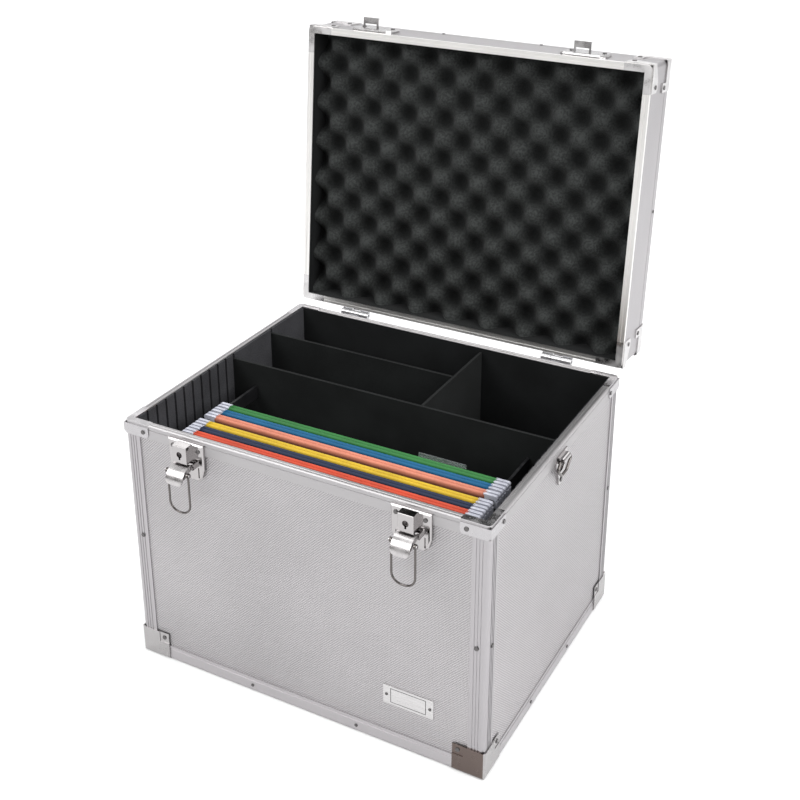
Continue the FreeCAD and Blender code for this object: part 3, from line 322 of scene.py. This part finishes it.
lining = pile("black_lining", (0.0030, 0.0034, 0.0036), (0.0090, 0.0100, 0.0105))
coat(["liner_front", "liner_rear", "liner_floor", "lid_liner"], lining)
board_cover = pile("board_cover", (0.0034, 0.0040, 0.0040), (0.0105, 0.0120, 0.0120), nap=0.0007)
coat(["partition", "divider_long", "divider_cross"], board_cover)
slotted_foam = pile("slotted_foam", (0.030, 0.030, 0.033), (0.060, 0.060, 0.066), nap=0.0014)
coat(["liner_left", "liner_right"], slotted_foam)

# %% [markdown]
# ## Black enamel
# The rails for the hanging files are steel strips painted black. Enamel is smooth but not level:
# slow waves in the bump bend its reflections a little.

# %% Black enamel
def enamel(name, colour):
    """Dark paint, a little rougher in cloudy patches, with slow waves from the brush."""
    f = Finish(name, rough=0.35)
    waves = f.noise(0.008, 2)
    fine = f.noise(0.0015, 3)
    return f.send(Base_Color=f.blend(fine, scaled(colour, 0.7), scaled(colour, 1.3)),
                  Roughness=f.spread(waves, 0.3, 0.5), Normal=f.bump(waves, 0.0001))


coat(["file_rail_left", "file_rail_right"], enamel("black_enamel", (0.008, 0.008, 0.009)))

# %% [markdown]
# ## Surfaces from numbers
# New pieces are made from arrays of points. A grid of points that depends on two numbers, u and v,
# becomes a mesh when each four neighbours are joined by a face. The helpers below turn such a grid
# into an object that rides on one of the frame's bodies.

# %% Grid helpers
def grid_faces(rows, columns, wrap_rows=False, wrap_columns=False, start=0):
    """Four corners per face: each point with its neighbours to the right and below."""
    i = np.arange(rows if wrap_rows else rows - 1)[:, None]
    j = np.arange(columns if wrap_columns else columns - 1)[None, :]
    ni, nj = (i + 1) % rows, (j + 1) % columns
    corners = [i * columns + j, i * columns + nj, ni * columns + nj, ni * columns + j]
    return start + np.stack([np.broadcast_to(c, (i.size, j.size)) for c in corners], -1).reshape(-1, 4)


def as_object(name, points, faces, body, material, smooth=True, extra=()):
    """A mesh object from points and faces, riding on a body. Extra: (name, a number per point) pairs."""
    mesh = bpy.data.meshes.new(name)
    mesh.from_pydata(points.reshape(-1, 3).tolist(), [], [list(map(int, face)) for face in faces])
    mesh.polygons.foreach_set("use_smooth", np.full(len(mesh.polygons), smooth))
    for key, values in extra:
        mesh.attributes.new(key, "FLOAT", "POINT").data.foreach_set("value", values)
    mesh.materials.append(material)
    mesh.validate()
    piece = bpy.data.objects.new(name, mesh)
    bpy.context.scene.collection.objects.link(piece)
    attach(piece, body)
    print(name, len(mesh.vertices), "points", len(mesh.polygons), "faces")
    return piece


def bar_faces(rings, around, start=0):
    """Faces of a closed bar: rings joined in a row, and a flat face at each end."""
    sides = [list(face) for face in grid_faces(rings, around, wrap_columns=True, start=start)]
    first = list(range(start, start + around))[::-1]
    last = list(range(start + (rings - 1) * around, start + rings * around))
    return sides + [first, last]


# %% [markdown]
# ## Egg-crate foam
# The lid is filled with a foam sheet cut so that round peaks and round pits alternate like the
# squares of a chessboard. The product of two cosines is exactly that shape. The front of the foam
# is that surface, and its back and sides are plain.
# The lid is modelled lying closed, where its opening is level, and then swung open about the
# hinge by the same angle as the frame's lid, so that it fits the frame.

# %% Egg-crate foam
hinge = next(j for j in frame["joints"] if j["name"] == "lid_hinge")
hinge_place = Vector(hinge["pos_m"])
open_turn = -math.radians(hinge["range_deg"][1])
about_hinge = Matrix.Translation(hinge_place)
swing = about_hinge @ Matrix.Rotation(open_turn, 4, "X") @ about_hinge.inverted()


def swung_open(points):
    """Points of a closed lid, turned about the hinge to where the lid stands open."""
    turn = np.array(swing.to_3x3())
    return points @ turn.T + np.array(swing.translation)


lid_opening = 0.2885          # height of the shut lid's opening above the floor
foam_half_x, foam_half_y = 0.1982, 0.1582
foam_back = 0.056             # depth of the foam's flat back below the opening
peak_pitch = 0.0465           # from one row of peaks to the next but one
wave_start_x, wave_start_y = 0.012, 0.0293
mean_depth, swell = 0.0215, 0.0105
foam_step = 0.0021            # spacing of the grid's points


def foam_surface():
    """Depth is the mean depth minus swell times cos(2 pi x / pitch) times cos(2 pi y / pitch)."""
    across = np.linspace(-foam_half_x, foam_half_x, int(2 * foam_half_x / foam_step) + 1)
    along = np.linspace(-foam_half_y, foam_half_y, int(2 * foam_half_y / foam_step) + 1)
    x, y = np.meshgrid(across, along, indexing="ij")
    turns = 2 * np.pi / peak_pitch
    wave = np.cos(turns * (x + wave_start_x)) * np.cos(turns * (y + wave_start_y))
    return x, y, lid_opening + mean_depth - swell * wave


def foam_piece():
    """The cut front, then side walls down to a flat back, as one closed skin."""
    x, y, z = foam_surface()
    rows, columns = x.shape
    top = np.stack([x, y, z], -1).reshape(-1, 3)
    rim = np.concatenate([np.arange(columns),
                          np.arange(1, rows) * columns + columns - 1,
                          (rows - 1) * columns + np.arange(columns - 2, -1, -1),
                          np.arange(rows - 2, 0, -1) * columns])
    back = top[rim].copy()
    back[:, 2] = lid_opening + foam_back
    count = len(top)
    after = np.roll(np.arange(len(rim)), -1)
    walls = np.stack([rim, rim[after], count + after, count + np.arange(len(rim))], -1)
    front = grid_faces(rows, columns)
    flat_back = [list(range(count, count + len(rim)))]
    faces = [list(f) for f in front] + [list(f) for f in walls] + flat_back
    # The height, from 0 in the pits to 1 on the peaks, is kept to paint shade into the pits.
    depth = (top[:, 2] - z.min()) / (z.max() - z.min())
    height = np.concatenate([1 - depth, np.zeros(len(back))])
    return swung_open(np.concatenate([top, back])), faces, height


cell_size = 1 / 900


def foam_finish():
    """Open-cell foam: tiny pits from cell noise, over a black with painted shade in the pits and painted
    light on the peaks, greyed by dusty noise.
    """
    f = Finish("black_foam", rough=0.96, Specular_IOR_Level=0.15, Sheen_Weight=0.03, Sheen_Roughness=0.6)
    cells = f.node("TexVoronoi", [("Vector", f.here), ("Scale", 1 / cell_size)]).outputs["Distance"]
    fine = f.noise(0.0024, 4)
    dust = f.noise(0.04, 3)
    shade = f.math("MULTIPLY_ADD", fine, 0.8, f.math("MULTIPLY", dust, 0.2))
    height = f.node("Attribute", attribute_name="height").outputs["Fac"]
    # Painted shade: dark in the pits and lighter on the peaks, by the height, times the dusty noise.
    tone_mix = f.math("MULTIPLY", f.spread(height, 0.16, 0.9, 0.1, 0.95), f.spread(shade, 0.6, 1.25, 0.4, 0.6))
    return f.send(Base_Color=f.blend(tone_mix, (0.0015, 0.002, 0.002), (0.040, 0.043, 0.042)),
                  Roughness=f.spread(shade, 0.85, 1.0), Normal=f.bump(cells, 0.0004, f.bump(fine, 0.0009)))


foam_points, foam_faces, foam_height = foam_piece()
foam = as_object("egg_crate_foam", foam_points, foam_faces, "lid", foam_finish(),
                 extra=[("height", foam_height)])
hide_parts("lid_foam")

# %% [markdown]
# ## Hanging files
# Each file is a folded card whose two top edges are hemmed over flat hanger bars. The hem is round
# on top where the card turns over the bar. The section of a file is drawn once, as a list of points
# across it, and carried along its length.

# %% Hanging files
bar_offset = 0.0023           # from the file's middle to each of its two bars
hem_radius = 0.00215
hem_top = 0.2600              # height of the hems above the floor
flap_end = 0.2485             # lower edge of the flap inside each hem
knee, knee_out = 0.14, 0.0016 # the card is upright down to the knee, then draws in towards the fold
fold_bottom, fold_rise = 0.0203, 0.003
card = 0.0005                 # thickness
half_length = 0.1585
bow = 0.0006                  # how far the card bows out of straight


def hem_arc(radius, count):
    """Half circle over a bar, from its outer side over the top to its inner side."""
    turn = np.linspace(0, np.pi, count)
    return np.stack([bar_offset + radius * np.cos(turn), hem_top - hem_radius + radius * np.sin(turn)], -1)


def file_section():
    """The card's outline: outer wall up, over one hem, its flap, across inside, and the same mirrored."""
    outside = bar_offset + hem_radius
    inside = bar_offset - hem_radius
    outer = np.array([[bar_offset + knee_out, fold_bottom + fold_rise], [outside, knee]])
    flap = np.array([[inside, flap_end], [inside + card, flap_end]])
    inner = np.array([[outside - card, knee], [bar_offset + knee_out - card, fold_bottom + fold_rise]])
    inner_hem = hem_arc(hem_radius - card, 7)[::-1]
    half = np.concatenate([outer, hem_arc(hem_radius, 9), flap, inner_hem, inner])
    under, over = np.array([[0.0, fold_bottom]]), np.array([[0.0, fold_bottom + card]])
    return np.concatenate([under, half, over, half[::-1] * [-1, 1]])


def file_cover(middle):
    """The section carried along X. The card bows as the cosine of the place, most at its foot."""
    section = file_section()
    along = np.linspace(-half_length, half_length, 41)
    bowed = bow * np.cos(np.pi * along / half_length * 1.5)
    below = np.clip((flap_end - section[:, 1]) / 0.2, 0, 1)
    x = np.repeat(along[:, None], len(section), 1)
    y = middle + section[None, :, 0] + bowed[:, None] * below[None, :]
    z = np.repeat(section[None, :, 1], len(along), 0)
    return np.stack([x, y, z], -1), bar_faces(len(along), len(section))


def card_finish(name, colour, edge, middle):
    """Dyed card: paper fibres as stretched noise, and a paler line painted along the rear hem's top as a
    highlight.

    The line starts 3.1 mm behind the file's middle and is full at 3.9 mm. The card is painted darker,
    as shade, from 2 mm below the hems' top down to 5.5 mm below it.
    """
    f = Finish("card_" + name, rough=0.6, Specular_IOR_Level=0.3)
    fibres = f.noise(0.0012, 4, f.stretched((0.5, 1.5, 2.0)))
    blotch = f.noise(0.03, 3)
    shade = f.math("MULTIPLY_ADD", fibres, 0.5, f.math("MULTIPLY", blotch, 0.5))
    light = tuple(min(1, c * 1.12 + 0.003) for c in colour)
    dyed = f.blend(f.spread(shade, 0.0, 1.0), scaled(colour, 0.8), light)
    behind = f.math("SUBTRACT", f.dot((0, 1, 0)), middle)
    # Painted highlight: a paler line along the top of the rear hem.
    lightening = f.spread(f.math("MULTIPLY_ADD", fibres, 0.0006, behind), 0.0, 0.9, 0.0031, 0.0039)
    # Painted shade: the card turns dark below the hems' top.
    near_top = f.spread(f.dot((0, 0, 1)), 0.0, 1.0, hem_top - 0.0055, hem_top - 0.0020)
    painted_light_colour = f.blend(near_top, scaled(colour, 0.25), f.blend(lightening, dyed, edge))
    return f.send(Base_Color=painted_light_colour, Roughness=f.spread(shade, 0.5, 0.7), Normal=f.bump(fibres, 0.00006))


def file_middle(name):
    """The middle of a file's thickness, from the frame."""
    low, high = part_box("file_" + name)
    return (low.y + high.y) / 2


# Each file's dye, then the paler colour of the painted highlight on its rear hem.
card_colours = {
    "orange": ((0.50, 0.060, 0.026), (0.66, 0.27, 0.17)),
    "navy": ((0.012, 0.020, 0.050), (0.09, 0.10, 0.14)),
    "yellow": ((0.54, 0.36, 0.020), (0.68, 0.56, 0.22)),
    "salmon": ((0.56, 0.20, 0.13), (0.58, 0.46, 0.46)),
    "blue": ((0.004, 0.090, 0.20), (0.10, 0.42, 0.44)),
    "green": ((0.026, 0.15, 0.036), (0.12, 0.33, 0.14)),
}
for name, (colour, edge) in card_colours.items():
    middle = file_middle(name)
    points, faces = file_cover(middle)
    finish = card_finish(name, colour, edge, middle)
    cover = as_object("cover_" + name, points, faces, "file_" + name, finish)
    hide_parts("file_" + name)

# %% [markdown]
# ## Hook ends
# A moulded grey end is pressed on each hanger bar. It carries on from the bar, steps up, and ends
# in a claw over the rail. Its outline from the front is an extruded shape with a rounded nose.

# %% Hook ends
nose_x, nose_z, nose_radius = 0.1698, 0.2573, 0.0026
shank_start = [[0.1570, 0.2599]]
outer_claw = [[0.1724, 0.2540], [0.1722, 0.2470], [0.1690, 0.2462]]
rest_on_rail = [[0.1686, 0.2551], [0.1634, 0.2551]]
inner_claw = [[0.1630, 0.2480], [0.1600, 0.2470], [0.1570, 0.2490]]
hook_offset = 0.00265         # from the file's middle to each of its hooks
hook_layers = ((-0.0017, 0.97), (-0.0012, 1.0), (0.0012, 1.0), (0.0017, 0.97))  # offset, size


def hook_outline():
    """The claw's outline as (x, z) from the bar's end outwards, with a half-round nose."""
    turn = np.linspace(np.pi / 2, -np.pi / 2, 9)
    nose = np.stack([nose_x + nose_radius * np.cos(turn), nose_z + nose_radius * np.sin(turn)], -1)
    return np.concatenate([shank_start, nose, outer_claw, rest_on_rail, inner_claw])


def hook_pair(middle):
    """Four claws, one at each end of two bars: the outline at four depths, the outer two smaller."""
    outline = hook_outline()
    centre = outline.mean(0)
    points, faces = [], []
    for bar in (-hook_offset, hook_offset):
        for side in (-1, 1):
            layers = []
            for offset, size in hook_layers:
                shape = centre + (outline - centre) * size
                y = np.full(len(shape), middle + bar + offset)
                layers.append(np.stack([side * shape[:, 0], y, shape[:, 1]], -1))
            start = sum(len(p) for p in points)
            made = bar_faces(len(layers), len(outline), start)
            faces += [face[::-1] for face in made] if side > 0 else made
            points.append(np.concatenate(layers))
    return np.concatenate(points), faces


def hook_finish():
    """Grey moulded plastic with a faint lilac tint and a fine grain."""
    f = Finish("hook_plastic", rough=0.38)
    grain = f.noise(0.0009, 3)
    tone = f.noise(0.012, 2)
    shade = f.math("MULTIPLY_ADD", grain, 0.3, f.math("MULTIPLY", tone, 0.7))
    return f.send(Base_Color=f.blend(f.spread(shade, 0.0, 1.0), (0.36, 0.37, 0.43), (0.54, 0.55, 0.62)),
                  Roughness=f.spread(shade, 0.3, 0.46), Normal=f.bump(grain, 0.00004))


hook_plastic = hook_finish()
for name in card_colours:
    points, faces = hook_pair(file_middle(name))
    as_object("hooks_" + name, points, faces, "file_" + name, hook_plastic, smooth=False)

# %% [markdown]
# ## Clear index tab
# The rear file carries a clear plastic tab. Glass-like plastic needs high transmission and a low
# roughness. A faint haze of noise keeps it from looking like empty air.

# %% Clear tab
def clear_finish():
    """Clear plastic with hazy roughness."""
    f = Finish("hazy_plastic", colour=(0.93, 0.96, 0.98), rough=0.08, Transmission_Weight=0.9, IOR=1.46)
    haze = f.noise(0.006, 3)
    return f.send(Roughness=f.spread(haze, 0.04, 0.2),
                  Base_Color=f.blend(haze, (0.86, 0.9, 0.93), (0.95, 0.97, 0.99)))


coat(["index_tab"], clear_finish())

# %% [markdown]
# ## Name plate
# A small brushed plate is riveted low on the front. It is left blank, with an engraved border line.

# %% Name plate
def plate_finish(low, high):
    """Brushed aluminium with a border: the plate darkens in a thin band a little inside its edge."""
    inset_x, inset_z, line_width = 0.0085, 0.0028, 0.00035
    f = Finish("name_plate", metal=1.0, rough=0.3)
    brushed = f.noise(0.0012, 2, f.stretched((0.05, 2, 3)))
    middle, half = (low + high) / 2, (high - low) / 2
    across = f.math("ABSOLUTE", f.math("SUBTRACT", f.dot((1, 0, 0)), middle.x))
    up = f.math("ABSOLUTE", f.math("SUBTRACT", f.dot((0, 0, 1)), middle.z))
    past_x = f.math("SUBTRACT", across, half.x - inset_x)
    past_z = f.math("SUBTRACT", up, half.z - inset_z)
    line = f.math("COMPARE", f.math("MAXIMUM", past_x, past_z), 0.0, line_width)
    tone = f.math("SUBTRACT", f.math("MULTIPLY_ADD", brushed, 0.4, 0.6), f.math("MULTIPLY", line, 0.8))
    return f.send(Base_Color=f.blend(tone, (0.05, 0.05, 0.05), (0.70, 0.69, 0.69)),
                  Roughness=f.spread(brushed, 0.25, 0.4), Normal=f.bump(brushed, 0.00003))


coat(["name_plate"], plate_finish(*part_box("name_plate")))

# %% [markdown]
# ## Handle grip
# The carrying handle is moulded in one piece, black and slightly pebbled so that it doesn't slip.

# %% Handle
def moulded_finish(name, colour):
    """Pebbled moulding: rounded cells in the bump over a dark, slightly uneven colour."""
    f = Finish(name, rough=0.5)
    cells = f.node("TexVoronoi", [("Vector", f.here), ("Scale", 700.0)], feature="SMOOTH_F1")
    pebbles = cells.outputs["Distance"]
    tone = f.noise(0.02, 3)
    return f.send(Base_Color=f.blend(tone, scaled(colour, 0.7), scaled(colour, 1.4)),
                  Roughness=f.spread(tone, 0.42, 0.6), Normal=f.bump(pebbles, 0.0002))


coat(["handle"], moulded_finish("grip_moulding", (0.035, 0.035, 0.038)))

# %% [markdown]
# ## Floor and light
# The case stands on a pale floor in a bright studio. Big soft lights make the flat boards glow
# evenly, and one more keeps the floor behind the case white. Metal only looks like metal when it
# has something dark to mirror as well, so the surroundings shade from white above to grey at the
# sides.

# %% Floor and light
def pale_floor():
    """A wide floor that curves up at the back: level first, then a quarter circle."""
    radius, front, back, wide, top = 1.2, -8.0, 5.0, 8.0, 4.5
    turn = np.linspace(0, np.pi / 2, 24)
    y = np.concatenate([[front, back], back + radius * np.sin(turn[1:]), [back + radius]])
    z = np.concatenate([[0, 0], radius * (1 - np.cos(turn[1:])), [top]])
    x = np.linspace(-wide, wide, 5)
    grid = np.stack(np.broadcast_arrays(x[None, :], y[:, None], z[:, None]), -1)
    mesh = bpy.data.meshes.new("floor")
    mesh.from_pydata(grid.reshape(-1, 3).tolist(), [], grid_faces(len(y), len(x)).tolist())
    mesh.polygons.foreach_set("use_smooth", np.full(len(mesh.polygons), True))
    floor = bpy.data.objects.new("floor", mesh)
    bpy.context.scene.collection.objects.link(floor)
    f = Finish("pale_floor", rough=0.7)
    tone = f.noise(0.5, 2)
    mesh.materials.append(f.send(Base_Color=f.blend(tone, (0.86, 0.86, 0.87), (0.9, 0.9, 0.9))))
    return floor


pale_floor()


def soft_light(name, place, target, size, power):
    """A rectangular lamp that faces its target."""
    data = bpy.data.lights.new(name, "AREA")
    data.shape = "RECTANGLE"
    data.size, data.size_y = size
    data.energy = power
    lamp = bpy.data.objects.new(name, data)
    bpy.context.scene.collection.objects.link(lamp)
    lamp.location = place
    lamp.rotation_euler = (Vector(target) - Vector(place)).to_track_quat("-Z", "Y").to_euler()
    return lamp


soft_light("key", (-1.6, -2.4, 2.4), (0, 0, 0.3), (1.8, 1.8), 52)
soft_light("side", (2.6, -0.4, 1.6), (0, 0, 0.3), (1.4, 1.8), 50)
soft_light("top", (0.1, 0.2, 3.0), (0, 0, 0.3), (2.2, 2.2), 45)
soft_light("floor_wash", (-0.8, 3.6, 2.6), (-0.8, 3.8, 0), (7.0, 2.0), 70)

world = bpy.data.worlds.new("studio")
bpy.context.scene.world = world
world.use_nodes = True
tree = world.node_tree
direction = tree.nodes.new("ShaderNodeTexCoord").outputs["Generated"]
split = tree.nodes.new("ShaderNodeSeparateXYZ")
tree.links.new(direction, split.inputs[0])
ramp = tree.nodes.new("ShaderNodeValToRGB")
ramp.color_ramp.elements[0].position = 0.0
ramp.color_ramp.elements[0].color = (0.24, 0.23, 0.225, 1)
ramp.color_ramp.elements[1].position = 0.7
ramp.color_ramp.elements[1].color = (1, 1, 1, 1)
tree.links.new(split.outputs["Z"], ramp.inputs["Fac"])
background = tree.nodes["Background"]
tree.links.new(ramp.outputs["Color"], background.inputs["Color"])
background.inputs["Strength"].default_value = 0.9
bpy.context.scene.view_settings.view_transform = "Standard"
print("lights", len(bpy.data.lights))
